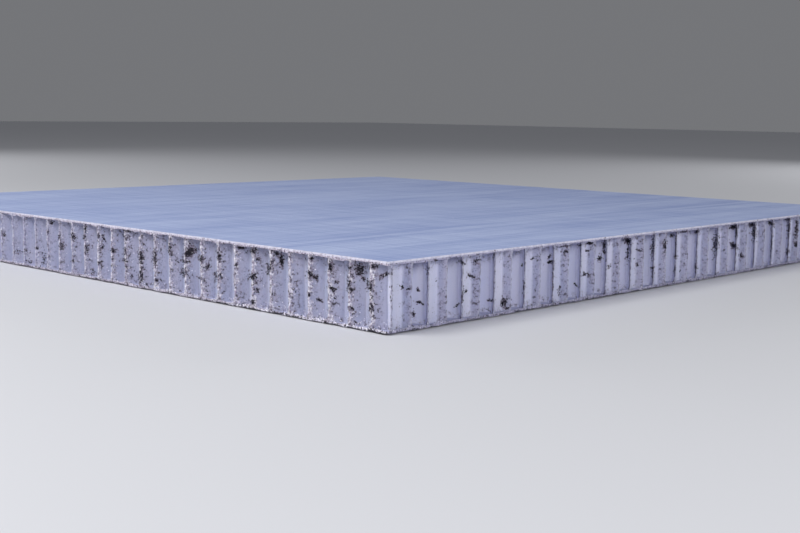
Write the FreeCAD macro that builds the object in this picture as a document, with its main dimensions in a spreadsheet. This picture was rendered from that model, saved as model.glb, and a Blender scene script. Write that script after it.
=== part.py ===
# Honeycomb composite panel: a square sample cut from a larger board of plastic honeycomb.
# Two thin face skins are bonded to a core of hexagonal cells that run through the thickness.
# The saw opened the cells along all four edges, so the cut faces show open flutes and wall ends.
# Frame: X and Y along the sides, Z through the thickness, origin at the centre of the bottom face.
# The corner at low X and low Y is the one nearest the viewer in the picture.
import FreeCAD
import Part
import math
import os

from FreeCAD import Vector

# name: (size in millimetres, what it is)
SIZES = {
    "panel_length": (300.0, "side along X"),
    "panel_width": (300.0, "side along Y"),
    "panel_thickness": (20.0, "over both skins"),
    "skin_thickness": (0.8, "each face skin"),
    "cell_flats": (8.0, "clear width of a cell between opposite walls"),
    "cell_wall": (0.4, "wall between two cells"),
    "first_cell_x": (5.5, "centre of the first cell column, from the low X edge"),
    "first_cell_y": (-1.7, "centre of its first cell, from the low Y edge"),
    "open_band": (16.0, "cells with their centre this near an edge are modelled open"),
}


def make_sheet(doc):
    """The driving dimensions, one row each: name, size, note."""
    sheet = doc.addObject("Spreadsheet::Sheet", "sizes")
    for row, (name, (size, note)) in enumerate(SIZES.items(), start=1):
        sheet.set(f"A{row}", name)
        sheet.set(f"B{row}", str(size))
        sheet.setAlias(f"B{row}", name)
        sheet.set(f"C{row}", note)
    doc.recompute()
    return sheet


def make_skin(doc, name, z_expression):
    """One face skin: a plain sheet the size of the panel."""
    skin = doc.addObject("Part::Box", name)
    skin.setExpression("Length", "sizes.panel_length")
    skin.setExpression("Width", "sizes.panel_width")
    skin.setExpression("Height", "sizes.skin_thickness")
    skin.setExpression("Placement.Base.x", "-sizes.panel_length / 2")
    skin.setExpression("Placement.Base.y", "-sizes.panel_width / 2")
    skin.setExpression("Placement.Base.z", z_expression)
    return skin


def cell_centres(sheet):
    """Centres of the cells that the saw opened and of the whole cells just behind them."""
    pitch = sheet.cell_flats + sheet.cell_wall
    column_step = pitch * math.sqrt(3) / 2
    reach = pitch / math.sqrt(3)
    half_length, half_width = sheet.panel_length / 2, sheet.panel_width / 2
    first_column = -math.ceil((sheet.first_cell_x + reach) / column_step)
    last_column = math.ceil((sheet.panel_length - sheet.first_cell_x + reach) / column_step)
    first_row = -math.ceil((sheet.first_cell_y + 2 * pitch) / pitch)
    last_row = math.ceil((sheet.panel_width - sheet.first_cell_y + pitch) / pitch)
    for column in range(first_column, last_column + 1):
        x = -half_length + sheet.first_cell_x + column * column_step
        stagger = pitch / 2 * (column % 2)
        for row in range(first_row, last_row + 1):
            y = -half_width + sheet.first_cell_y + row * pitch + stagger
            inset = min(half_length - abs(x), half_width - abs(y))
            if -reach < inset < sheet.open_band:
                yield x, y


def make_cell_openings(doc, sheet, core_outline):
    """The hexagons that are cut from the core's section, each with two walls square to the X sides."""
    corner_radius = sheet.cell_flats / math.sqrt(3)
    angles = [math.radians(60 * k) for k in range(6)]
    corners = [Vector(corner_radius * math.cos(a), corner_radius * math.sin(a), 0) for a in angles]
    hexagons = []
    for x, y in cell_centres(sheet):
        outline = [corner + Vector(x, y, 0) for corner in corners]
        hexagon = Part.Face(Part.makePolygon(outline + outline[:1]))
        # a cell whose opening would part the tip of a panel corner from the web stays shut
        if len(core_outline.Shape.cut(hexagon).Faces) == 1:
            hexagons.append(hexagon)
    openings = doc.addObject("Part::Feature", "cell_openings")
    openings.Shape = Part.makeCompound(hexagons)
    return openings


def make_core(doc, sheet):
    """The core: the panel's outline less the cells, raised between the skins."""
    outline = doc.addObject("Part::Plane", "core_outline")
    outline.setExpression("Length", "sizes.panel_length")
    outline.setExpression("Width", "sizes.panel_width")
    outline.setExpression("Placement.Base.x", "-sizes.panel_length / 2")
    outline.setExpression("Placement.Base.y", "-sizes.panel_width / 2")
    doc.recompute()
    section = doc.addObject("Part::Cut", "web_section")
    section.Base = outline
    section.Tool = make_cell_openings(doc, sheet, outline)
    core = doc.addObject("Part::Extrusion", "honeycomb_core")
    core.Base = section
    core.DirMode = "Custom"
    core.Dir = Vector(0, 0, 1)
    core.Solid = True
    core.setExpression("LengthFwd", "sizes.panel_thickness - 2 * sizes.skin_thickness")
    core.setExpression("Placement.Base.z", "sizes.skin_thickness")
    return core


def check(doc, parts):
    """Every object computed, and every part one valid closed solid."""
    for item in doc.Objects:
        if "Invalid" in item.State or "Error" in item.State:
            raise RuntimeError(f"{item.Label} did not compute: {item.State}")
    for part in parts:
        shape = part.Shape
        if shape.isNull() or not shape.isValid() or not shape.Solids:
            raise RuntimeError(f"{part.Label} is not a valid solid")


def main():
    doc = FreeCAD.newDocument("honeycomb_panel")
    sheet = make_sheet(doc)
    parts = [
        make_skin(doc, "bottom_skin", "0 mm"),
        make_core(doc, sheet),
        make_skin(doc, "top_skin", "sizes.panel_thickness - sizes.skin_thickness"),
    ]
    doc.recompute()
    check(doc, parts)
    os.makedirs("parts", exist_ok=True)
    for part in parts:
        part.Shape.exportStep(f"parts/{part.Label}.step")
        print(part.Label, "solids", len(part.Shape.Solids), "faces", len(part.Shape.Faces),
              "volume", round(part.Shape.Volume, 1), part.Shape.BoundBox)


main()
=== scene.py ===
# Square sample of honeycomb board on a plain studio floor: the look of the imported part.
# Lengths are metres unless a note says otherwise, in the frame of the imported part, whose origin is
# under its middle.
import bmesh
import bpy
import math
import random
from mathutils import Matrix, Vector, noise
from mathutils.bvhtree import BVHTree


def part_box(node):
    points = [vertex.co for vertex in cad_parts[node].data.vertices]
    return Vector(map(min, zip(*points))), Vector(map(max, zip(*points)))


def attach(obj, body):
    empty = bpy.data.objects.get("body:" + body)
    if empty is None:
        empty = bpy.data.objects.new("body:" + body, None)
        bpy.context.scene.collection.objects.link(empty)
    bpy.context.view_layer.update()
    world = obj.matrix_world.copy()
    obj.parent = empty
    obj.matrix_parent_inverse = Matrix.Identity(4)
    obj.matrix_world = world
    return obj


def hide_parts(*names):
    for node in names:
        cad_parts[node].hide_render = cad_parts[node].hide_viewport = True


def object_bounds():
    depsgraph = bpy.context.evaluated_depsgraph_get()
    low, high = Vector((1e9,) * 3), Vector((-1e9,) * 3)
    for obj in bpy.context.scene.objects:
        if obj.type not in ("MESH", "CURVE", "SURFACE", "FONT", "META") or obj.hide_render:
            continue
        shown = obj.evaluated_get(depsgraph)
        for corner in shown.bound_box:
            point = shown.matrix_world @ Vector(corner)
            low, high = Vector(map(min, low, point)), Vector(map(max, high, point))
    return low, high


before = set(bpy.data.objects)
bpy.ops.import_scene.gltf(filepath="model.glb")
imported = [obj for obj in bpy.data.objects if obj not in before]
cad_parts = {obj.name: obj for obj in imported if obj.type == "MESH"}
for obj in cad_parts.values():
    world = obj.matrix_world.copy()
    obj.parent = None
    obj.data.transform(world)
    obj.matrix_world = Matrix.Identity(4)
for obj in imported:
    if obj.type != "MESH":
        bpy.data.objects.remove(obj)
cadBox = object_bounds()
mm = 0.001
sideLength = round(cadBox[1].x - cadBox[0].x, 6)
panelTop = round(cadBox[1].z, 6)
noise.seed_set(3)  # without a seed, noise_vector follows the clock


# Small helpers for the tools

def clamp(value, low, high):
    return min(max(value, low), high)


def clearSelection():
    bpy.ops.object.select_all(action="DESELECT")


def pickOnly(piece):
    clearSelection()
    piece.select_set(True)
    bpy.context.view_layer.objects.active = piece


def startEditing(piece):
    pickOnly(piece)
    bpy.ops.object.mode_set(mode="EDIT")
    bpy.ops.mesh.select_all(action="SELECT")


def stopEditing():
    bpy.ops.object.mode_set(mode="OBJECT")


def applyPlace(piece):
    pickOnly(piece)
    bpy.ops.object.transform_apply(location=True, rotation=True, scale=True)


def applyModifiers(piece):
    pickOnly(piece)
    for modifier in list(piece.modifiers):
        bpy.ops.object.modifier_apply(modifier=modifier.name)


def addArray(piece, count, offset):
    array = piece.modifiers.new("row", "ARRAY")
    array.count = count
    array.use_relative_offset = False
    array.use_constant_offset = True
    array.constant_offset_displace = offset


def sliceAt(point, normal, dropOutside=False):
    bpy.ops.mesh.select_all(action="SELECT")
    bpy.ops.mesh.bisect(plane_co=point, plane_no=normal, clear_outer=dropOutside)


def smoothShading(piece, degrees):
    pickOnly(piece)
    bpy.ops.object.shade_smooth_by_angle(angle=math.radians(degrees))


def finishPiece(piece, material, slot, *nodes):
    piece.data.materials.clear()
    piece.data.materials.append(material)
    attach(piece, "root")
    if nodes:
        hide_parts(*nodes)
    print("piece ready:", piece.name, len(piece.data.polygons), "faces")


# Small helpers for the materials

# a screen colour, 0 to 255, as the linear values that a socket takes
def tint(red, green, blue):
    linear = []
    for level in (red, green, blue):
        part = level / 255
        linear.append(part / 12.92 if part <= 0.04045 else ((part + 0.055) / 1.055) ** 2.4)
    return (*linear, 1.0)


def plug(tree, socket, source):
    if isinstance(source, bpy.types.NodeSocket):
        tree.links.new(source, socket)
    else:
        socket.default_value = source


def addMath(tree, operation, first, second=0.0):
    node = tree.nodes.new("ShaderNodeMath")
    node.operation = operation
    plug(tree, node.inputs[0], first)
    plug(tree, node.inputs[1], second)
    return node.outputs[0]


def addRamp(tree, value, low, high, start=0.0, end=1.0):
    node = tree.nodes.new("ShaderNodeMapRange")
    node.interpolation_type = "SMOOTHSTEP"
    plug(tree, node.inputs["Value"], value)
    node.inputs["From Min"].default_value = low
    node.inputs["From Max"].default_value = high
    node.inputs["To Min"].default_value = start
    node.inputs["To Max"].default_value = end
    return node.outputs[0]


def addColourMix(tree, amount, first, second):
    node = tree.nodes.new("ShaderNodeMix")
    node.data_type = "RGBA"
    plug(tree, node.inputs[0], amount)
    plug(tree, node.inputs[6], first)
    plug(tree, node.inputs[7], second)
    return node.outputs[2]


def addStretch(tree, coords, scale):
    node = tree.nodes.new("ShaderNodeMapping")
    plug(tree, node.inputs["Vector"], coords)
    node.inputs["Scale"].default_value = scale
    return node.outputs[0]


def addNoise(tree, coords, size, detail=3.0, rough=0.55):
    node = tree.nodes.new("ShaderNodeTexNoise")
    plug(tree, node.inputs["Vector"], coords)
    node.inputs["Scale"].default_value = 1 / size
    node.inputs["Detail"].default_value = detail
    node.inputs["Roughness"].default_value = rough
    return node.outputs[0]


def addSpots(tree, coords, size):
    node = tree.nodes.new("ShaderNodeTexVoronoi")
    plug(tree, node.inputs["Vector"], coords)
    node.inputs["Scale"].default_value = 1 / size
    return node.outputs["Distance"]


def addBump(tree, height, distance, strength):
    node = tree.nodes.new("ShaderNodeBump")
    plug(tree, node.inputs["Height"], height)
    node.inputs["Distance"].default_value = distance
    node.inputs["Strength"].default_value = strength
    return node.outputs[0]


def newMaterial(name):
    material = bpy.data.materials.new(name)
    material.use_nodes = True
    tree = material.node_tree
    coords = tree.nodes.new("ShaderNodeTexCoord").outputs["Object"]
    return material, tree, tree.nodes["Principled BSDF"], coords


def multiply(tree, *amounts):
    product = amounts[0]
    for amount in amounts[1:]:
        product = addMath(tree, "MULTIPLY", product, amount)
    return product


# the way in from the nearest sawn edge, the height, 1 on the X sides but 0 on the Y sides, and Y itself
def addSawMasks(tree, coords):
    split = tree.nodes.new("ShaderNodeSeparateXYZ")
    plug(tree, split.inputs[0], coords)
    across = addMath(tree, "ABSOLUTE", split.outputs["X"])
    along = addMath(tree, "ABSOLUTE", split.outputs["Y"])
    depth = addMath(tree, "SUBTRACT", cadBox[1].x, addMath(tree, "MAXIMUM", across, along))
    onX = addRamp(tree, addMath(tree, "SUBTRACT", across, along), -0.3 * mm, 0.3 * mm)
    return depth, split.outputs["Z"], onX, split.outputs["Y"]


# a number that the mesh itself carries
def addMark(tree, name):
    node = tree.nodes.new("ShaderNodeAttribute")
    node.attribute_name = name
    return node.outputs["Fac"]


# coordinates pushed about by a fine noise, so that spots lose their round edges
def addShake(tree, coords, size, distance):
    wander = tree.nodes.new("ShaderNodeTexNoise")
    wander.inputs["Scale"].default_value = 1 / size
    plug(tree, wander.inputs["Vector"], coords)
    shift = tree.nodes.new("ShaderNodeVectorMath")
    shift.operation = "SCALE"
    plug(tree, shift.inputs[0], wander.outputs["Color"])
    shift.inputs["Scale"].default_value = distance
    bent = tree.nodes.new("ShaderNodeVectorMath")
    bent.operation = "ADD"
    plug(tree, bent.inputs[0], coords)
    plug(tree, bent.inputs[1], shift.outputs[0])
    return bent.outputs[0]


# Camera, light and floor

cameraSettings = {
    "place": (-0.38180, -0.37476, 0.06014),
    "heading": 43.561,  # degrees from +X towards +Y
    "downTilt": 7.299,
    "roll": 0.783,
    "lens": 54.67,  # this and the sensor in millimetres
    "sensorWidth": 36,
    "clipStart": 0.01,
}


def makeCamera(settings):
    data = bpy.data.cameras.new("photoCamera")
    camera = bpy.data.objects.new("photoCamera", data)
    bpy.context.scene.collection.objects.link(camera)
    data.sensor_width = settings["sensorWidth"]
    data.lens = settings["lens"]
    data.clip_start = settings["clipStart"]
    turn = Matrix.Rotation(math.radians(settings["heading"] - 90), 4, "Z")
    lean = Matrix.Rotation(math.radians(90 - settings["downTilt"]), 4, "X")
    roll = Matrix.Rotation(math.radians(settings["roll"]), 4, "Z")
    camera.matrix_world = Matrix.Translation(settings["place"]) @ turn @ lean @ roll
    bpy.context.scene.camera = camera


lightSettings = {
    "world": 0.21,
    "worldColour": (236, 238, 244),
    "softboxes": (
        # place, the point it faces, width, height, watts
        ((-0.62, 0.12, 0.70), (-0.58, 0.10, 0), 0.5, 0.5, 6.5),
        ((-0.54, -0.90, 0.42), (0, 0, 0), 0.5, 0.4, 5.0),
        ((1.12, -0.10, 0.30), (0, 0, 0), 0.5, 0.4, 2.8),
        ((-0.10, 1.12, 0.30), (0, 0, 0), 0.5, 0.4, 2.8),
    ),
    "floorColour": (208, 209, 214),
    "floorSize": 8.0,
    "floorGap": 0.2 * mm,  # how far the floor lies under the panel, so that no faces share a plane
    "floorRoughness": 0.6,
}


def makeStudio(settings):
    scene = bpy.context.scene
    scene.view_settings.view_transform = "Standard"
    world = bpy.data.worlds.new("studio")
    world.use_nodes = True
    background = world.node_tree.nodes["Background"]
    background.inputs["Color"].default_value = tint(*settings["worldColour"])
    background.inputs["Strength"].default_value = settings["world"]
    scene.world = world
    for number, (place, target, width, height, watts) in enumerate(settings["softboxes"], start=1):
        data = bpy.data.lights.new(f"softbox{number}", "AREA")
        data.shape = "RECTANGLE"
        data.size = width
        data.size_y = height
        data.energy = watts
        lamp = bpy.data.objects.new(data.name, data)
        scene.collection.objects.link(lamp)
        lamp.location = place
        lamp.rotation_euler = (Vector(target) - Vector(place)).to_track_quat("-Z", "Y").to_euler()
        lamp.visible_camera = False
    clearSelection()
    bpy.ops.mesh.primitive_plane_add(size=settings["floorSize"], location=(0, 0, -settings["floorGap"]))
    floor = bpy.context.active_object
    floor.name = "studioFloor"
    applyPlace(floor)
    paint, _, shader, _ = newMaterial("floorPaint")
    shader.inputs["Base Color"].default_value = tint(*settings["floorColour"])
    shader.inputs["Roughness"].default_value = settings["floorRoughness"]
    floor.data.materials.append(paint)


# Materials

coreColours = {
    "shade": (168, 173, 203),
    "light": (186, 186, 211),
    # painted light: the colour walls are painted towards where light would shine through them or where
    # they lie in shade
    "paintedLight": (229, 230, 255),
    # a dull film of dust, which also serves as painted shade on the X sides
    "filmAndShade": (138, 139, 165),
    "dust": (144, 136, 154),
    "scorch": (108, 99, 113),
    "char": (40, 37, 46),
    "speck": (62, 58, 70),
    # a dark line down the ends of some walls
    "darkEndLine": (84, 80, 98),
    "whiteEnd": (244, 241, 251),
    "brownEnd": (154, 143, 162),
}


def makeCorePlastic(colours):
    material, tree, shader, coords = newMaterial("corePlastic")
    depth, height, onX, alongY = addSawMasks(tree, coords)
    dirtAndShade, paintedLight, darkEndLine = (addMark(tree, name) for name in ("dirtAndShade", "paintedLight", "darkEndLine"))
    cloud = addRamp(tree, addNoise(tree, addStretch(tree, coords, (1, 1, 0.12)), 3.0 * mm), 0.35, 0.7)
    colour = addColourMix(tree, cloud, tint(*colours["shade"]), tint(*colours["light"]))

    # the saw left more on the X sides than on the Y sides, and less towards high Y
    calmer = addRamp(tree, alongY, -45 * mm, 45 * mm, 1.0, 0.4)
    wear = multiply(tree, addRamp(tree, onX, 0.0, 1.0, 0.75, 1.0), calmer)
    dusted = addRamp(tree, dirtAndShade, 0.0, 0.9, 0.15, 1.0)
    nearSaw = multiply(tree, addRamp(tree, depth, 2.9 * mm, 0.9 * mm), dusted)
    underRim = addRamp(tree, height, 15.0 * mm, 18.6 * mm)
    atFoot = addRamp(tree, height, 3.4 * mm, 1.0 * mm)
    edges = addMath(tree, "MAXIMUM", underRim, atFoot)
    worn = multiply(tree, addMath(tree, "MAXIMUM", nearSaw, multiply(tree, edges, 0.8)), wear)

    # painted light: clean walls are painted paler where light would come through them or where they lie
    # in shade; the dirty ones have a dull film, which on the X sides is also painted shade that darkens
    # those sides
    colour = addColourMix(tree, paintedLight, colour, tint(*colours["paintedLight"]))
    filmAndShade = multiply(tree, dirtAndShade, addRamp(tree, onX, 0.0, 1.0, 0.38, 0.60))
    colour = addColourMix(tree, filmAndShade, colour, tint(*colours["filmAndShade"]))

    # a pinkish bloom of fine dust
    bloom = addRamp(tree, addNoise(tree, coords, 0.7 * mm, 4.0, 0.7), 0.40, 0.62)
    drift = addRamp(tree, addNoise(tree, coords, 3.6 * mm, 2.0), 0.34, 0.58)
    colour = addColourMix(tree, multiply(tree, bloom, drift, worn, 0.6), colour, tint(*colours["dust"]))

    # sawn wall ends, white and brown in turns on the X sides, and plain on the Y sides
    uneven = addMath(tree, "SUBTRACT", addNoise(tree, coords, 1.0 * mm, 4.0, 0.7), 0.5)
    straggle = multiply(tree, uneven, 3.2 * mm)
    onEnd = addRamp(tree, addMath(tree, "ADD", depth, straggle), 1.0 * mm, 0.35 * mm)
    sawn = multiply(tree, onEnd, addRamp(tree, onX, 0.0, 1.0, 0.10, 0.85), calmer)
    turns = addRamp(tree, addNoise(tree, coords, 0.8 * mm, 3.0, 0.7), 0.40, 0.60)
    ends = addColourMix(tree, turns, tint(*colours["brownEnd"]), tint(*colours["whiteEnd"]))
    colour = addColourMix(tree, sawn, colour, ends)

    # scorched blotches with charred hearts and ragged outlines, in patches
    patches = addRamp(tree, addNoise(tree, coords, 3.0 * mm, 2.0), 0.36, 0.50)
    ragged = addNoise(tree, addShake(tree, coords, 0.5 * mm, 0.5 * mm), 1.15 * mm, 5.0, 0.68)
    amount = multiply(tree, patches, worn)
    scorch = multiply(tree, addRamp(tree, ragged, 0.50, 0.60), amount, 0.8)
    colour = addColourMix(tree, scorch, colour, tint(*colours["scorch"]))
    char = multiply(tree, addRamp(tree, ragged, 0.580, 0.610), amount, 0.95)
    colour = addColourMix(tree, char, colour, tint(*colours["char"]))

    # a dark line down the end of each wall that faces inwards on the Y sides
    broken = addRamp(tree, addNoise(tree, coords, 2.2 * mm, 4.0), 0.38, 0.56, 0.20, 0.95)
    colour = addColourMix(tree, multiply(tree, darkEndLine, broken), colour, tint(*colours["darkEndLine"]))

    # fine specks, thin all over the open cells
    shaken = addShake(tree, coords, 0.4 * mm, 0.4 * mm)
    spots = addRamp(tree, addSpots(tree, shaken, 0.66 * mm), 0.27, 0.19)
    strewn = addRamp(tree, addNoise(tree, coords, 1.7 * mm, 2.0), 0.46, 0.56)
    reach = addMath(tree, "MAXIMUM", worn, multiply(tree, addRamp(tree, depth, 5 * mm, 2 * mm), 0.35))
    speckled = multiply(tree, spots, strewn, reach, 0.9)
    colour = addColourMix(tree, speckled, colour, tint(*colours["speck"]))

    plug(tree, shader.inputs["Base Color"], colour)
    shader.inputs["Roughness"].default_value = 0.6
    shader.inputs["Specular IOR Level"].default_value = 0.2
    covered = addMath(tree, "MAXIMUM", addMath(tree, "MAXIMUM", scorch, speckled), darkEndLine)
    plug(tree, shader.inputs["Subsurface Weight"], addRamp(tree, covered, 0.0, 0.6, 0.55, 0.0))
    shader.inputs["Subsurface Radius"].default_value = (1.0, 1.0, 1.1)
    shader.inputs["Subsurface Scale"].default_value = 1.5 * mm
    grain = addNoise(tree, coords, 0.35 * mm, 4.0, 0.6)
    rough = multiply(tree, grain, addRamp(tree, depth, 2.0 * mm, 0.2 * mm, 0.15, 1.0), wear)
    plug(tree, shader.inputs["Normal"], addBump(tree, rough, 0.2 * mm, 0.5))
    return material


skinColours = {
    "shade": (140, 154, 196),
    "light": (171, 183, 216),
    "dustDot": (214, 216, 230),
    "arris": (226, 225, 240),
    "crumblyLight": (216, 211, 228),
    "crumblyShade": (160, 149, 168),
    "smoothLight": (184, 182, 208),
    "smoothShade": (158, 156, 184),
    "inside": (170, 172, 200),
    "speck": (56, 52, 64),
    "bandAt": -0.100,  # a faint band along X that crosses the face here
}


def makeSkinPlastic(colours):
    material, tree, shader, coords = newMaterial("skinPlastic")
    depth, height, onX, alongY = addSawMasks(tree, coords)

    # the broad face: brushed both ways, slightly clouded, with one faint band and a few dots of dust
    strokesX = addNoise(tree, addStretch(tree, coords, (0.02, 1, 1)), 0.9 * mm, 3.0)
    strokesY = addNoise(tree, addStretch(tree, coords, (1, 0.02, 1)), 0.9 * mm, 3.0)
    weave = addMath(tree, "ADD", strokesX, strokesY)
    clouds = addNoise(tree, addStretch(tree, coords, (0.15, 1, 1)), 14 * mm, 3.0)
    tone = addMath(tree, "ADD", multiply(tree, addRamp(tree, weave, 0.86, 1.14), 0.6),
                   multiply(tree, addRamp(tree, clouds, 0.35, 0.65), 0.4))
    offBand = addMath(tree, "ABSOLUTE", addMath(tree, "SUBTRACT", alongY, colours["bandAt"]))
    lightBand = addRamp(tree, offBand, 2.4 * mm, 0.4 * mm, 0.0, 0.18)
    besideBand = addMath(tree, "ABSOLUTE", addMath(tree, "SUBTRACT", offBand, 5 * mm))
    darkBand = addRamp(tree, besideBand, 3.0 * mm, 0.5 * mm, 0.0, 0.22)
    tone = addMath(tree, "SUBTRACT", addMath(tree, "ADD", tone, lightBand), darkBand)
    colour = addColourMix(tree, tone, tint(*colours["shade"]), tint(*colours["light"]))
    dots = addRamp(tree, addSpots(tree, coords, 17 * mm), 0.030, 0.018)
    colour = addColourMix(tree, multiply(tree, dots, 0.8), colour, tint(*colours["dustDot"]))

    # the bonded face inside, as pale as the walls
    overFoot = addRamp(tree, height, 0.6 * mm, 0.75 * mm)
    inside = multiply(tree, overFoot, addRamp(tree, height, 19.4 * mm, 19.25 * mm))
    colour = addColourMix(tree, inside, colour, tint(*colours["inside"]))

    # the sawn edge: crumbly on the X sides, smoother on the Y sides, specked below, white at the arris
    turns = addRamp(tree, addNoise(tree, coords, 0.6 * mm, 4.0, 0.7), 0.42, 0.60)
    crumbly = addColourMix(tree, turns, tint(*colours["crumblyShade"]), tint(*colours["crumblyLight"]))
    smooth = addColourMix(tree, turns, tint(*colours["smoothShade"]), tint(*colours["smoothLight"]))
    cutColour = addColourMix(tree, onX, smooth, crumbly)
    ragged = addNoise(tree, addShake(tree, coords, 0.4 * mm, 0.4 * mm), 0.75 * mm, 4.0, 0.7)
    below = addRamp(tree, height, 19.7 * mm, 19.1 * mm)
    atFoot = addRamp(tree, height, 1.0 * mm, 0.3 * mm)
    nearCorner = multiply(tree, addRamp(tree, alongY, -66 * mm, -82 * mm), onX)
    extra = multiply(tree, atFoot, addRamp(tree, nearCorner, 0.0, 1.0, 0.08, 0.16))
    pepper = addMath(tree, "ADD", ragged, extra)
    spots = multiply(tree, addRamp(tree, pepper, 0.57, 0.61), below, 0.9)
    cutColour = addColourMix(tree, spots, cutColour, tint(*colours["speck"]))
    underBurr = addRamp(tree, height, 0.78 * mm, 0.70 * mm)
    tornUp = multiply(tree, underBurr, addRamp(tree, depth, 1.6 * mm, 1.2 * mm))
    onCut = addMath(tree, "MAXIMUM", addRamp(tree, depth, 0.35 * mm, 0.12 * mm), tornUp)
    colour = addColourMix(tree, onCut, colour, cutColour)
    nearTop = addRamp(tree, height, 19.3 * mm, 19.65 * mm)
    rim = multiply(tree, nearTop, addRamp(tree, depth, 0.5 * mm, 0.2 * mm))
    broken = addRamp(tree, addNoise(tree, coords, 1.1 * mm, 4.0, 0.7), 0.35, 0.60, 0.35, 1.0)
    colour = addColourMix(tree, multiply(tree, rim, broken), colour, tint(*colours["arris"]))
    plug(tree, shader.inputs["Base Color"], colour)
    shader.inputs["Roughness"].default_value = 0.55
    shader.inputs["Specular IOR Level"].default_value = 0.05
    grain = addNoise(tree, coords, 0.35 * mm, 4.0, 0.6)
    rough = addMath(tree, "ADD", multiply(tree, grain, addRamp(tree, depth, 0.9 * mm, 0.3 * mm)),
                    multiply(tree, weave, 0.25))
    plug(tree, shader.inputs["Normal"], addBump(tree, rough, 0.2 * mm, 0.5))
    return material


wasteColours = {
    "charredFleck": ((10, 10, 16), (44, 40, 50)),
    "brownStain": ((94, 87, 102), (140, 132, 152)),
    "whiteCrumb": ((206, 202, 220), (243, 241, 250)),
}


def makeWaste(name, darker, lighter):
    material, tree, shader, coords = newMaterial(name)
    cloud = addRamp(tree, addNoise(tree, coords, 1.0 * mm), 0.35, 0.65)
    plug(tree, shader.inputs["Base Color"], addColourMix(tree, cloud, tint(*darker), tint(*lighter)))
    shader.inputs["Roughness"].default_value = 0.7
    shader.inputs["Specular IOR Level"].default_value = 0.15
    return material


# The honeycomb core

coreSettings = {
    "cellFlats": 8.0 * mm,  # clear width between opposite walls of a cell
    "cellWall": 0.4 * mm,
    "firstCellX": 5.5 * mm,  # centre of the first cell column, in from the low X edge
    "firstCellY": -1.7 * mm,  # centre of its first cell, in from the low Y edge
    "cutDepths": (0.35 * mm, 0.9 * mm, 1.8 * mm),  # extra lines down the walls, in from the saw cut
    "mergeWithin": 0.02 * mm,  # corners of neighbouring cells that count as one
    "roundFrom": 2.0 * mm,  # cell corners this far in are rounded
    "roundSize": 0.9 * mm,
    "roundSegments": 2,
    "smoothAngle": 40,  # degrees
    "rows": 10,  # segments up each wall
    "finerRows": 5,  # parts that a segment has close to the saw cut
    "finerTo": 0.5 * mm,
    "crowding": 0.35,  # how much the rows crowd towards the face sheets
    "lip": 0.20 * mm,  # how far the melted lip swells a wall end
    "wobble": 0.26 * mm,  # how far a wall end wanders sideways
    "warp": 0.12 * mm,  # slow waves in the walls
    "bite": 0.7 * mm,  # how deep the saw tore into the wall ends
    "fillet": 0.5 * mm,  # glue that rounds the walls into the face sheets
    "wornTo": 7 * mm,  # nothing is bent or torn further in than this
    "wearOnY": 0.55,  # wear on the Y sides, against 1 on the X sides
}


def depthOf(place):
    return min(cadBox[1].x - abs(place.x), cadBox[1].y - abs(place.y))


def wayIn(place):
    if cadBox[1].y - abs(place.y) < cadBox[1].x - abs(place.x):
        return Vector((0, -math.copysign(1, place.y), 0))
    return Vector((-math.copysign(1, place.x), 0, 0))


def isUpright(edge):
    return abs(edge.verts[0].co.z - edge.verts[1].co.z) > 1 * mm


# the upright edges of the walls that can be seen from outside
def outerUprights(mesh):
    upright = [face for face in mesh.faces if abs(face.normal.z) < 0.5]
    found = {face for face in upright if depthOf(face.calc_center_median()) < 0.01 * mm}
    front = list(found)
    while front:
        face = front.pop()
        for edge in filter(isUpright, face.edges):
            for other in edge.link_faces:
                if other not in found and abs(other.normal.z) < 0.5:
                    found.add(other)
                    front.append(other)
    return {edge for face in found for edge in face.edges if isUpright(edge)}


def selectEdges(piece, wanted):
    mesh = bmesh.from_edit_mesh(piece.data)
    chosen = wanted(mesh)
    for edge in mesh.edges:
        edge.select = edge in chosen
    bmesh.update_edit_mesh(piece.data)


def smoothStep(value, low, high):
    part = clamp((value - low) / (high - low), 0.0, 1.0)
    return part * part * (3 - 2 * part)


# 1 at the cut and 0 further in, between two depths in millimetres
def fadeOut(depth, low, high):
    return 1 - smoothStep(depth, low * mm, high * mm)


# how much dust film and painted shade, how much painted light and how much dark end line a wall has at
# a spot
def wallFilmAndLight(normal, inward, spot):
    depth = depthOf(spot)
    facing = -normal.dot(inward)
    if inward.x and normal.y > 0.1:  # on the X sides, what faces high Y has little film and is painted lighter against its shade
        return 0.4 * fadeOut(depth, 0.2, 0.9), 0.12, 0.0
    if inward.x:  # and the rest of each flute has a film, dust near the cut and painted shade all over
        return 0.5 + 0.5 * fadeOut(depth, 0.9, 2.6), 0.0, 0.0
    if facing > 0.9:  # on the Y sides, the back wall of a cell: dust at the cut, painted light further in
        dirtAndShade = fadeOut(depth, 0.0, 0.4)
        return dirtAndShade, 0.44 * (1 - dirtAndShade), 0.0
    if facing > 0.1:  # a slanted wall that faces out: dust near the cut, painted light further in
        dirtAndShade = fadeOut(depth, 1.6, 2.4)
        return dirtAndShade, 0.44 * (1 - dirtAndShade), 0.0
    # a wall that faces in has dust at its end and is painted much lighter against its shade further in,
    # with a dark line down its end, but not close to a corner of the panel
    dirtAndShade = fadeOut(depth, 0.2, 0.7)
    offCorner = smoothStep(cadBox[1].x - abs(spot.x), 3 * mm, 6 * mm)
    return dirtAndShade, 0.7 * (1 - dirtAndShade), fadeOut(depth, 0.1, 0.45) * offCorner


def markWalls(piece):
    mesh = piece.data
    rows = []
    for face in mesh.polygons:
        inward = wayIn(face.center)
        for index in face.vertices:
            rows.append(wallFilmAndLight(face.normal, inward, mesh.vertices[index].co))
    for name, values in zip(("dirtAndShade", "paintedLight", "darkEndLine"), zip(*rows)):
        mesh.attributes.new(name, "FLOAT", "CORNER").data.foreach_set("value", values)


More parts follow.
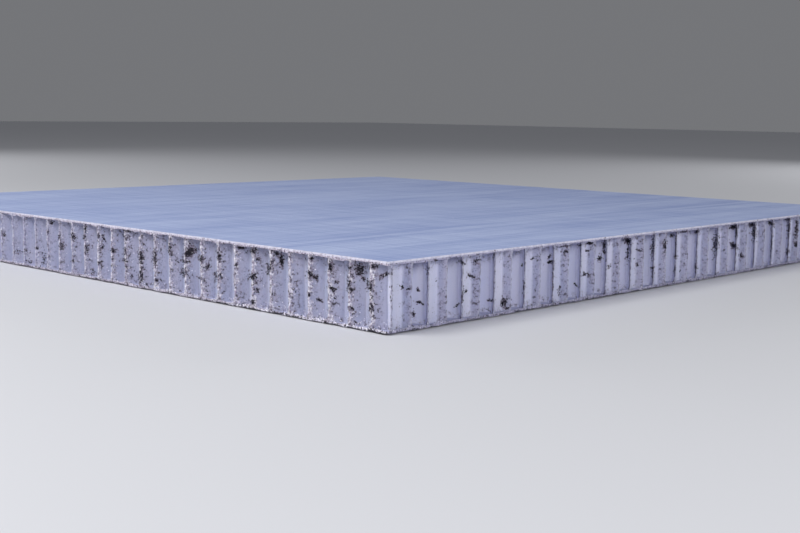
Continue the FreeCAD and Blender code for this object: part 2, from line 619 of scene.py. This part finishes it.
# swells, bends and chews the walls close to the saw cut, and keeps them inside the panel
def tearWallEnds(piece, settings):
    mesh = piece.data
    low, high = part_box("honeycomb_core")
    normals = [vertex.normal.copy() for vertex in mesh.vertices]
    for vertex, normal in zip(mesh.vertices, normals):
        spot = vertex.co.copy()
        depth = depthOf(spot)
        if depth > settings["wornTo"]:
            continue
        inward = wayIn(spot)
        wear = 1.0 if inward.x else settings["wearOnY"]
        onSaw = math.exp(-(depth / (0.5 * mm)) ** 2) * wear
        nearSaw = math.exp(-depth / (1.5 * mm)) * wear
        fine = noise.noise(spot / (0.9 * mm))
        coarse = noise.noise_vector(spot / (3.5 * mm))
        slow = noise.noise_vector(spot / (7 * mm) + Vector((9, 3, 5)))
        side = Vector((normal.x, normal.y, 0))
        if side.length > 0.1:
            side.normalize()
        ends = min(high.z - spot.z, spot.z - low.z)
        glue = math.exp(-ends / (0.5 * mm)) * (0.7 + 0.9 * noise.noise(spot / (1.6 * mm)))
        swell = settings["lip"] * (0.45 + 1.3 * fine) * onSaw + settings["fillet"] * max(0.0, glue)
        move = side * swell
        move += Vector((coarse.x, coarse.y, 0)) * settings["wobble"] * nearSaw
        move += Vector((slow.x, slow.y, 0)) * settings["warp"]
        torn = max(0.0, noise.noise(spot / (0.8 * mm) + Vector((4, 8, 2))) + 0.15)
        move += inward * settings["bite"] * torn * onSaw
        place = spot + move
        place.x = clamp(place.x, low.x, high.x)
        place.y = clamp(place.y, low.y, high.y)
        vertex.co = place
    mesh.update()


# the upright edges at the inner corners of the open cells
def innerCorners(mesh, fromDepth):
    inner = {edge for edge in outerUprights(mesh) if depthOf(edge.verts[0].co) > fromDepth}
    return {edge for edge in inner if edge.calc_face_angle(0) > math.radians(30)}


# the upright edges close to the saw cut
def nearCut(mesh, toDepth):
    return {edge for edge in mesh.edges if isUpright(edge) and depthOf(edge.verts[0].co) < toDepth}


# gives the faces one fixed order, because extruding and subdividing list them anew on each run
def sortFaces(piece):
    mesh = piece.data
    corners = [vertex.co.copy() for vertex in mesh.vertices]
    faces = []
    for face in mesh.polygons:
        ring = list(face.vertices)
        start = ring.index(min(ring))
        faces.append(ring[start:] + ring[:start])
    mesh.clear_geometry()
    mesh.from_pydata(corners, [], sorted(faces))
    mesh.update()


# crowds the rows of corners towards the foot and the top of the walls
def crowdRows(piece, low, high, amount):
    for vertex in piece.data.vertices:
        share = (vertex.co.z - low.z) / (high.z - low.z)
        share -= amount * math.sin(math.tau * share) / math.tau
        vertex.co.z = low.z + share * (high.z - low.z)


def makeCore(settings, material):
    low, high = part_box("honeycomb_core")
    pitch = settings["cellFlats"] + settings["cellWall"]
    columnStep = pitch * math.sqrt(3) / 2
    start = low + Vector((settings["firstCellX"] - 2 * columnStep, settings["firstCellY"] - pitch, 0))
    columnPairs = math.ceil((high.x - start.x) / (2 * columnStep))
    cellsUp = math.ceil((high.y - start.y) / pitch) + 1
    clearSelection()
    bpy.ops.mesh.primitive_circle_add(vertices=6, radius=pitch / math.sqrt(3), fill_type="NGON",
                                      location=start, rotation=(0, 0, math.radians(30)))
    core = bpy.context.active_object
    core.name = "honeycombCore"
    applyPlace(core)
    startEditing(core)
    bpy.ops.mesh.inset(thickness=settings["cellWall"] / 2)
    bpy.ops.mesh.delete(type="FACE")
    stopEditing()
    addArray(core, 2, (columnStep, pitch / 2, 0))
    addArray(core, columnPairs, (2 * columnStep, 0, 0))
    addArray(core, cellsUp, (0, pitch, 0))
    applyModifiers(core)
    startEditing(core)
    bpy.ops.mesh.remove_doubles(threshold=settings["mergeWithin"])
    for normal in (Vector((1, 0, 0)), Vector((0, 1, 0)), Vector((-1, 0, 0)), Vector((0, -1, 0))):
        sliceAt(normal * high.x, normal, dropOutside=True)
        for depth in settings["cutDepths"]:
            sliceAt(normal * (high.x - depth), normal)
    bpy.ops.mesh.select_all(action="SELECT")
    bpy.ops.mesh.extrude_region_move(TRANSFORM_OT_translate={"value": (0, 0, high.z - low.z)})
    bpy.ops.mesh.select_all(action="SELECT")
    bpy.ops.mesh.normals_make_consistent(inside=False)
    stopEditing()
    sortFaces(core)
    startEditing(core)
    bpy.ops.mesh.select_mode(type="EDGE")
    selectEdges(core, lambda mesh: innerCorners(mesh, settings["roundFrom"]))
    bpy.ops.mesh.bevel(offset=settings["roundSize"], segments=settings["roundSegments"], affect="EDGES")
    selectEdges(core, outerUprights)
    bpy.ops.mesh.subdivide(number_cuts=settings["rows"] - 1)
    selectEdges(core, lambda mesh: nearCut(mesh, settings["finerTo"]))
    bpy.ops.mesh.subdivide(number_cuts=settings["finerRows"] - 1)
    stopEditing()
    sortFaces(core)
    crowdRows(core, low, high, settings["crowding"])
    markWalls(core)
    tearWallEnds(core, settings)
    smoothShading(core, settings["smoothAngle"])
    finishPiece(core, material, "core", "honeycomb_core")
    return core


# The face sheets

sheetSettings = {
    "segments": 700,  # pieces that each side of the outline is cut into
    "rimInsets": (0.3 * mm, 0.8 * mm),
    "wander": 0.26 * mm,  # how far the sawn edge wanders in from the true line
    "droop": 0.12 * mm,  # how far the arris is rounded over
    "curtain": 0.75 * mm,  # how far a melted burr hangs over the cells
    "tornFoot": 0.8 * mm,  # how high the saw tore the foot of the lower sheet
    "tornTo": -75 * mm,  # fully so at the low X and low Y corner, up to this Y
    "tornElsewhere": 0.35,
    "wornTo": 2 * mm,  # the sheet is true further in than this
    "wearOnY": 0.6,  # wear on the Y sides, against 1 on the X sides
    "smoothAngle": 50,  # degrees
}


# lets the sawn edge wander in, rounds its arris and hangs a melted burr over the cells
def fraySheetEdge(piece, low, high, settings, ragged, topUp):
    outward = 1 if topUp else -1
    for vertex in piece.data.vertices:
        spot = vertex.co.copy()
        depth = depthOf(spot)
        if depth > settings["wornTo"]:
            continue
        inward = wayIn(spot)
        wear = ragged * (1.0 if inward.x else settings["wearOnY"])
        onSaw = math.exp(-(depth / (0.6 * mm)) ** 2)
        fine = noise.noise(spot / (0.8 * mm))
        coarse = noise.noise(spot / (4 * mm) + Vector((2, 7, 1)))
        onOuterFace = (spot.z - (low.z + high.z) / 2) * outward
        wander = max(0.0, 0.35 + 0.6 * fine + 0.5 * coarse)
        place = spot + inward * wander * settings["wander"] * wear * onSaw
        if onOuterFace > 0.1 * mm:
            droop = settings["droop"] * (0.5 + 0.8 * noise.noise(spot / (1.1 * mm) + Vector((5, 5, 5))))
            place.z -= outward * max(0.0, droop) * wear * onSaw
            if not topUp:
                atCorner = spot.x < 0 and spot.y < settings["tornTo"]
                corner = 1.0 if atCorner else settings["tornElsewhere"]
                torn = max(0.0, noise.noise(spot / (2.2 * mm) + Vector((3, 3, 9))) + 0.15)
                onRim = math.exp(-(depth / (0.4 * mm)) ** 2)
                place.z += settings["tornFoot"] * torn * wear * corner * onRim
        if onOuterFace < -0.1 * mm:
            lumpy = noise.noise(spot / (1.5 * mm) + Vector((1, 6, 3)))
            lump = max(0.0, 0.25 + 1.0 * lumpy + 0.5 * coarse)
            place.z -= outward * lump * settings["curtain"] * math.exp(-(depth / (0.25 * mm)) ** 2)
        vertex.co = place
    piece.data.update()


def makeSheet(name, node, settings, ragged, topUp, material):
    low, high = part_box(node)
    clearSelection()
    bpy.ops.mesh.primitive_cube_add(size=1, location=(low + high) / 2, scale=high - low)
    sheet = bpy.context.active_object
    sheet.name = name
    applyPlace(sheet)
    startEditing(sheet)
    bpy.ops.mesh.select_mode(type="EDGE")
    mesh = bmesh.from_edit_mesh(sheet.data)
    for edge in mesh.edges:
        edge.select = abs(edge.verts[0].co.z - edge.verts[1].co.z) < 0.1 * mm
    bmesh.update_edit_mesh(sheet.data)
    bpy.ops.mesh.subdivide(number_cuts=settings["segments"] - 1)
    sliceAt((low + high) / 2, (0, 0, 1))
    bpy.ops.mesh.select_mode(type="FACE")
    mesh = bmesh.from_edit_mesh(sheet.data)
    for face in mesh.faces:
        face.select = abs(face.normal.z) > 0.5
    bmesh.update_edit_mesh(sheet.data)
    for inset in settings["rimInsets"]:
        bpy.ops.mesh.inset(thickness=inset, use_even_offset=True)
    stopEditing()
    fraySheetEdge(sheet, low, high, settings, ragged, topUp)
    smoothShading(sheet, settings["smoothAngle"])
    finishPiece(sheet, material, "skin", node)
    return sheet


# Burrs, crumbs and charred flecks that the saw left

fleckSettings = {
    "chipShapes": 4,  # shapes of small chip, and as many of large chip
    "chipCorners": (0.6, 1.3),  # how far each corner of a chip is pulled in or out
    "smallSize": (0.14 * mm, 0.36 * mm),
    "largeSize": (0.34 * mm, 0.75 * mm),
    "largeShare": 0.18,
    "crumbSize": (0.16 * mm, 0.42 * mm),
    "sunk": 0.15,  # the part of a chip's height that is inside the wall
    # the heart and the halo of each mark: flecks for each one counted in the tables below, how far
    # they spread for its size, how large they are, and how thick for that size
    "heart": {"share": 2.0, "spread": 0.29, "sizes": (0.22 * mm, 0.64 * mm), "thickness": 0.4},
    "halo": {"share": 1.1, "spread": 0.44, "sizes": (0.30 * mm, 0.80 * mm), "thickness": 0.16},
    "heapedTo": 72 * mm,  # white crumbs lie thick along the foot of the low X side up to here
    "lowest": 0.1 * mm,
    "highest": 19.8 * mm,
    "raysPerSide": 34000,
    "raySlant": 0.7,  # sideways for each metre inwards, at most
    "rayStart": 5,  # millimetres out from the side
    "sideWear": {"lowX": 1.0, "lowY": 0.45, "highX": 0.9, "highY": 0.4},
    "calmerFrom": 0.105,  # the X sides are less worn along from here
    "calmerTo": 0.195,
    "calmerBy": 0.5,
    "scatterSeed": 41,
    "markSeed": 7,
}

# Marks that stand out on the two sides by the near corner, all in millimetres:
# along the side from that corner, height, length, width, tilt in degrees, number of flecks
lowXMarks = (
    (1.6, 16.2, 3.6, 0.8, -20, 26), (5.6, 18.2, 1.6, 1.0, 0, 14), (11.2, 16.6, 3.2, 2.6, 0, 60),
    (14.8, 17.0, 1.4, 1.4, 0, 12), (9.4, 14.6, 1.6, 0.8, 20, 10), (7.2, 12.8, 2.2, 2.6, 0, 34),
    (15.2, 12.4, 1.6, 4.6, 0, 34), (6.4, 6.8, 1.6, 2.2, 0, 20), (13.8, 5.6, 1.5, 0.9, 20, 12),
    (22.4, 16.4, 2.0, 2.4, 0, 26), (20.0, 12.5, 1.2, 0.7, 0, 9), (21.6, 10.3, 2.8, 0.9, 8, 18),
    (28.8, 12.8, 1.6, 1.0, 0, 18), (31.2, 13.4, 2.2, 2.4, 0, 34), (30.6, 18.0, 1.5, 0.9, 0, 12),
    (31.6, 7.6, 0.9, 0.9, 0, 9), (27.4, 6.6, 2.0, 0.7, 10, 12), (43.6, 16.4, 1.4, 3.2, 0, 32),
    (45.8, 18.1, 2.4, 0.8, 0, 16), (47.8, 15.4, 1.6, 0.8, -20, 14), (49.2, 13.2, 1.8, 3.4, 0, 30),
    (54.2, 15.7, 1.6, 0.6, 0, 9), (56.8, 17.9, 2.4, 1.5, 0, 26), (56.8, 10.0, 2.8, 2.0, 0, 36),
    (54.6, 6.2, 1.1, 1.5, 0, 14), (56.8, 2.5, 2.0, 1.2, 0, 22), (62.6, 18.4, 3.0, 0.8, 0, 18),
    (64.6, 13.0, 1.6, 0.7, -30, 12), (73.0, 14.6, 1.8, 3.4, 0, 34), (74.4, 8.2, 1.8, 3.2, 0, 26),
    (78.8, 10.8, 2.0, 1.4, -30, 14), (82.0, 13.2, 1.9, 1.8, 0, 30), (83.0, 7.0, 2.0, 0.6, 0, 10),
    (87.9, 14.8, 3.8, 1.9, -22, 260), (90.6, 11.4, 2.6, 1.0, 0, 20), (91.4, 8.0, 2.2, 2.8, 0, 22),
    (98.6, 14.8, 2.2, 3.2, 0, 26), (107.0, 11.0, 2.0, 5.6, 0, 44), (106.2, 3.6, 2.0, 0.9, 0, 14),
    (115.0, 10.6, 2.6, 3.6, 0, 46), (115.0, 4.2, 2.2, 3.6, 0, 40), (124.2, 11.6, 1.6, 2.6, 0, 17),
    (124.4, 8.5, 2.4, 1.0, 0, 13), (123.6, 6.5, 1.4, 1.4, 0, 7), (120.2, 3.9, 1.2, 1.0, 0, 6),
    (124.6, 17.0, 1.6, 1.2, 0, 8), (122.0, 18.6, 4.0, 0.7, 0, 8), (131.4, 11.2, 2.6, 1.4, 0, 21),
    (131.8, 8.4, 1.2, 0.9, 0, 5), (137.3, 15.1, 1.6, 1.6, 0, 10), (140.3, 15.4, 1.4, 1.8, 0, 7),
    (138.5, 11.6, 3.0, 0.9, -30, 11), (140.0, 6.2, 1.8, 1.2, 0, 11), (148.0, 10.7, 2.4, 2.6, 0, 24),
    (149.2, 14.5, 1.6, 1.4, 0, 10), (148.6, 17.6, 1.6, 2.8, 0, 10), (144.2, 2.8, 2.4, 1.6, 0, 7),
    (156.9, 13.9, 2.6, 2.0, 0, 21), (157.2, 5.3, 2.2, 1.2, 0, 8), (164.4, 10.2, 3.4, 2.4, 0, 24),
    (166.2, 13.2, 1.6, 1.6, 0, 7), (171.0, 18.0, 2.6, 1.2, 0, 11), (173.6, 14.2, 2.0, 1.2, 0, 7),
    (177.0, 4.5, 3.0, 4.0, 0, 13), (181.8, 7.8, 2.0, 1.2, 0, 7), (187.5, 2.2, 4.0, 1.2, 0, 7),
    (189.5, 6.0, 2.2, 1.4, 0, 7), (195.5, 5.6, 4.0, 1.4, 0, 8), (206.2, 11.0, 2.6, 1.8, 0, 10),
)
lowYMarks = (
    (5.6, 12.6, 0.9, 0.9, 0, 5), (7.8, 11.9, 1.5, 0.5, 0, 5), (11.7, 11.4, 0.9, 0.9, 0, 6),
    (12.2, 7.7, 3.2, 0.5, -14, 10), (10.2, 4.8, 0.9, 2.2, 0, 7), (15.7, 16.4, 0.9, 3.6, 0, 11),
    (19.0, 18.9, 1.8, 0.5, 0, 6), (30.2, 17.4, 2.2, 0.8, -30, 12), (29.2, 5.4, 2.6, 0.5, 18, 8),
    (31.0, 8.2, 0.7, 4.0, 0, 10), (34.4, 13.0, 2.8, 0.8, -25, 14), (36.6, 17.2, 3.0, 1.4, 0, 11),
    (32.2, 8.9, 1.0, 0.6, 0, 4), (43.8, 5.0, 1.8, 0.6, 0, 9), (44.6, 18.0, 1.0, 1.8, 0, 7),
    (49.8, 3.9, 2.2, 1.8, 0, 37), (51.6, 1.9, 2.2, 0.6, 0, 10), (58.2, 14.4, 0.8, 0.6, 0, 4),
    (59.3, 7.4, 0.9, 3.2, 0, 10), (63.2, 16.0, 1.3, 0.4, 0, 4), (72.0, 16.0, 1.6, 0.7, 30, 9),
    (72.4, 14.2, 3.0, 0.9, 0, 19), (74.0, 9.6, 0.6, 6.0, 0, 15), (79.4, 18.5, 3.6, 0.5, 0, 9),
    (80.2, 16.8, 2.6, 0.9, 0, 14), (77.6, 4.4, 1.5, 2.6, 0, 9), (88.0, 18.2, 1.8, 0.7, 0, 7),
    (86.4, 5.6, 2.0, 0.5, -35, 7), (93.4, 18.5, 3.8, 0.6, 0, 12), (92.0, 16.2, 3.0, 0.5, 0, 7),
    (92.4, 8.4, 4.0, 0.9, -10, 14), (101.6, 17.6, 1.4, 2.2, 0, 37), (101.8, 15.2, 1.3, 1.2, 0, 15),
    (99.4, 13.2, 2.2, 1.8, 30, 14), (104.6, 10.0, 1.4, 1.1, 0, 9), (115.4, 17.9, 3.0, 1.3, -20, 70),
    (116.0, 13.8, 1.2, 4.6, 0, 34), (122.8, 14.0, 3.0, 0.6, -12, 10), (122.0, 9.2, 1.2, 1.0, 0, 8),
    (131.4, 14.5, 2.2, 6.0, 0, 46), (131.6, 7.2, 2.2, 1.0, 0, 12), (132.0, 5.0, 1.2, 3.0, 0, 10),
    (139.3, 14.8, 1.4, 3.6, 0, 26), (143.6, 17.8, 2.6, 0.7, 0, 9), (146.5, 14.0, 0.9, 7.0, 0, 26),
    (146.6, 10.0, 1.4, 1.4, 0, 12), (146.6, 5.6, 1.4, 2.0, 0, 12), (152.4, 18.7, 4.4, 0.6, 0, 14),
    (160.8, 18.1, 2.4, 1.2, 0, 24), (161.0, 4.8, 2.2, 2.6, 0, 20), (174.8, 12.2, 3.4, 6.8, 0, 80),
    (188.2, 18.2, 5.0, 1.4, 0, 44), (190.0, 15.9, 2.0, 3.2, 0, 34), (189.0, 10.9, 4.8, 1.6, -17, 60),
    (194.4, 6.8, 3.0, 2.4, 0, 14), (202.6, 18.2, 4.0, 1.2, 0, 34), (204.2, 15.2, 2.8, 5.2, 0, 70),
    (218.0, 17.9, 4.4, 1.3, -15, 40), (219.2, 9.5, 2.0, 9.0, 0, 30), (232.4, 18.6, 5.0, 0.8, 0, 18),
    (233.6, 14.6, 2.4, 5.4, 0, 46), (233.6, 5.3, 2.6, 1.6, 0, 20), (240.6, 14.0, 2.4, 6.4, 0, 60),
    (240.6, 8.1, 2.4, 2.0, 0, 22),
)


# one angular crumb about a unit across, as its corners and faces
def makeChip(seed, small, pull):
    clearSelection()
    if small:
        bpy.ops.mesh.primitive_uv_sphere_add(segments=3, ring_count=3, radius=0.5)
    else:
        bpy.ops.mesh.primitive_ico_sphere_add(subdivisions=1, radius=0.5)
    chip = bpy.context.active_object
    chance = random.Random(seed)
    for vertex in chip.data.vertices:
        vertex.co *= chance.uniform(*pull)
    corners = [vertex.co.copy() for vertex in chip.data.vertices]
    faces = [tuple(face.vertices) for face in chip.data.polygons]
    bpy.data.objects.remove(chip)
    return corners, faces


# one mesh of many chips, each with its own place, kept inside the panel's box
def joinCopies(name, chips, placings):
    low, high = cadBox
    corners = []
    faces = []
    for number, place in placings:
        chipCorners, chipFaces = chips[number]
        first = len(corners)
        for corner in chipCorners:
            spot = place @ corner
            corners.append([clamp(*limits) for limits in zip(spot, low, high)])
        faces.extend(tuple(first + index for index in face) for face in chipFaces)
    mesh = bpy.data.meshes.new(name)
    mesh.from_pydata(corners, [], faces)
    mesh.update()
    piece = bpy.data.objects.new(name, mesh)
    bpy.context.scene.collection.objects.link(piece)
    return piece


# a matrix that lays a chip on a wall, turned at random and sunk a little
def seat(place, normal, length, width, height, chance):
    turn = normal.to_track_quat("Z", "Y").to_matrix().to_4x4()
    spin = Matrix.Rotation(chance.uniform(0, math.tau), 4, "Z")
    size = Matrix.Diagonal((length, width, height, 1))
    return Matrix.Translation(place - normal * height * fleckSettings["sunk"]) @ turn @ spin @ size


# where a ray first meets a piece, and which way the surface faces there
def castRay(trees, origin, direction):
    nearest = None
    shortest = math.inf
    for tree in trees:
        place, normal, _, distance = tree.ray_cast(origin, direction)
        if place is not None and distance < shortest:
            nearest = (place, normal)
            shortest = distance
    return nearest


sides = {
    # the way in from the side, and the way along it, measured from its low end
    "lowX": (Vector((1, 0, 0)), Vector((0, 1, 0))),
    "lowY": (Vector((0, 1, 0)), Vector((1, 0, 0))),
    "highX": (Vector((-1, 0, 0)), Vector((0, 1, 0))),
    "highY": (Vector((0, -1, 0)), Vector((1, 0, 0))),
}


def placeOnSide(side, along, height):
    inward, run = sides[side]
    half = cadBox[1].x
    return -inward * half + run * (along - half) + Vector((0, 0, height))


# flecks and crumbs all over the cut faces, as lists of chip numbers and places
def layFlecks(trees, settings):
    chance = random.Random(settings["scatterSeed"])
    shapes = settings["chipShapes"]
    dark = []
    white = []
    for side, (inward, run) in sides.items():
        for _ in range(settings["raysPerSide"]):
            along = chance.uniform(0, sideLength)
            wear = settings["sideWear"][side]
            if inward.x:
                calm = smoothStep(along, settings["calmerFrom"], settings["calmerTo"])
                wear *= 1 - settings["calmerBy"] * calm
            height = chance.uniform(settings["lowest"], settings["highest"])
            target = placeOnSide(side, along, height)
            slant = chance.uniform(-settings["raySlant"], settings["raySlant"])
            direction = (inward + run * slant).normalized()
            hit = castRay(trees, target - direction * settings["rayStart"] * mm, direction)
            if hit is None or abs(hit[1].z) > 0.8:  # nothing lies on what faces up or down
                continue
            place, normal = hit
            depth = depthOf(place)
            patch = noise.noise(place / (2.6 * mm)) + 0.5 * noise.noise(place / (1.1 * mm))
            top = math.exp(-((panelTop - height) / (2.4 * mm)) ** 2)
            heaped = side == "lowX" and along < settings["heapedTo"]
            reach = (2.0 if heaped else 1.3) * mm
            bottom = math.exp(-(height / reach) ** 2) * (1.0 if heaped else 0.4)
            whiter = 1.0 if inward.x else 0.3
            roll = chance.random()
            if depth < 0.45 * mm:  # on the sawn ends and edges
                if roll < wear * (0.26 + 0.4 * patch + 0.5 * bottom) * whiter:
                    size = chance.uniform(*settings["crumbSize"]) * (1 + 0.9 * bottom)
                    length = size * chance.uniform(1, 1.8)
                    seated = seat(place, normal, length, size, size * 0.8, chance)
                    white.append((chance.randrange(shapes), seated))
                elif roll > 1 - 0.16 * wear - 0.4 * bottom:
                    size = chance.uniform(*settings["smallSize"]) * (1 + 0.5 * bottom)
                    seated = seat(place, normal, size * 1.6, size, size * 0.5, chance)
                    dark.append((chance.randrange(shapes), seated))
                continue
            near = math.exp(-((depth - 0.8 * mm) / (1.0 * mm)) ** 2)
            amount = wear * (0.10 + 0.35 * top + 0.3 * bottom) * near * max(0.0, 0.5 + 2.0 * patch)
            if roll < amount + 0.006:
                large = chance.random() < settings["largeShare"]
                size = chance.uniform(*settings["largeSize" if large else "smallSize"])
                number = chance.randrange(shapes) + (shapes if large else 0)
                length = size * chance.uniform(1, 2)
                dark.append((number, seat(place, normal, length, size * 0.7, size * 0.4, chance)))
            elif roll > 1 - (0.5 * bottom + 0.03 * near) * wear * whiter:
                size = chance.uniform(*settings["crumbSize"]) * 1.2
                number = chance.randrange(shapes)
                white.append((number, seat(place, normal, size * 1.4, size, size, chance)))
    return dark, white


# flecks where the picture shows them, seated on whatever wall the camera sees there
def layMarks(trees, side, marks, style, settings, chance):
    eye = Vector(cameraSettings["place"])
    shapes = settings["chipShapes"]
    laid = []
    for along, height, length, width, tilt, count in marks:
        lean = math.radians(tilt)
        for _ in range(round(count * style["share"])):
            a = chance.gauss(0, style["spread"]) * length
            b = chance.gauss(0, style["spread"]) * width
            spotAlong = along + a * math.cos(lean) - b * math.sin(lean)
            spotHeight = height + a * math.sin(lean) + b * math.cos(lean)
            target = placeOnSide(side, spotAlong * mm, min(spotHeight * mm, settings["highest"]))
            hit = castRay(trees, eye, (target - eye).normalized())
            if hit is None:
                continue
            size = chance.uniform(*style["sizes"])
            number = shapes + chance.randrange(shapes)
            thickness = size * style["thickness"]
            laid.append((number, seat(*hit, size * 1.15, size * 0.9, thickness, chance)))
    return laid


def makeSawWaste(settings, darkMaterial, brownMaterial, whiteMaterial, *carriers):
    graph = bpy.context.evaluated_depsgraph_get()
    trees = [BVHTree.FromObject(carrier, graph) for carrier in carriers]
    shapes = settings["chipShapes"]
    chips = [makeChip(seed, seed < shapes, settings["chipCorners"]) for seed in range(2 * shapes)]
    dark, white = layFlecks(trees, settings)
    chance = random.Random(settings["markSeed"])
    brown = []
    for side, marks in (("lowX", lowXMarks), ("lowY", lowYMarks)):
        dark += layMarks(trees, side, marks, settings["heart"], settings, chance)
        brown += layMarks(trees, side, marks, settings["halo"], settings, chance)
    flecks = joinCopies("charredFlecks", chips, dark)
    finishPiece(flecks, darkMaterial, "core")
    stains = joinCopies("brownStains", chips, brown)
    finishPiece(stains, brownMaterial, "core")
    crumbs = joinCopies("whiteCrumbs", chips, white)
    finishPiece(crumbs, whiteMaterial, "core")


makeCamera(cameraSettings)
makeStudio(lightSettings)
print("camera, lights and floor are ready")
corePlastic = makeCorePlastic(coreColours)
skinPlastic = makeSkinPlastic(skinColours)
print("plastics are ready")
core = makeCore(coreSettings, corePlastic)
topSheet = makeSheet("topSheet", "top_skin", sheetSettings, 1.0, True, skinPlastic)
bottomSheet = makeSheet("bottomSheet", "bottom_skin", sheetSettings, 2.0, False, skinPlastic)
wasteMaterials = [makeWaste(name, *pair) for name, pair in wasteColours.items()]
makeSawWaste(fleckSettings, *wasteMaterials, core, topSheet, bottomSheet)
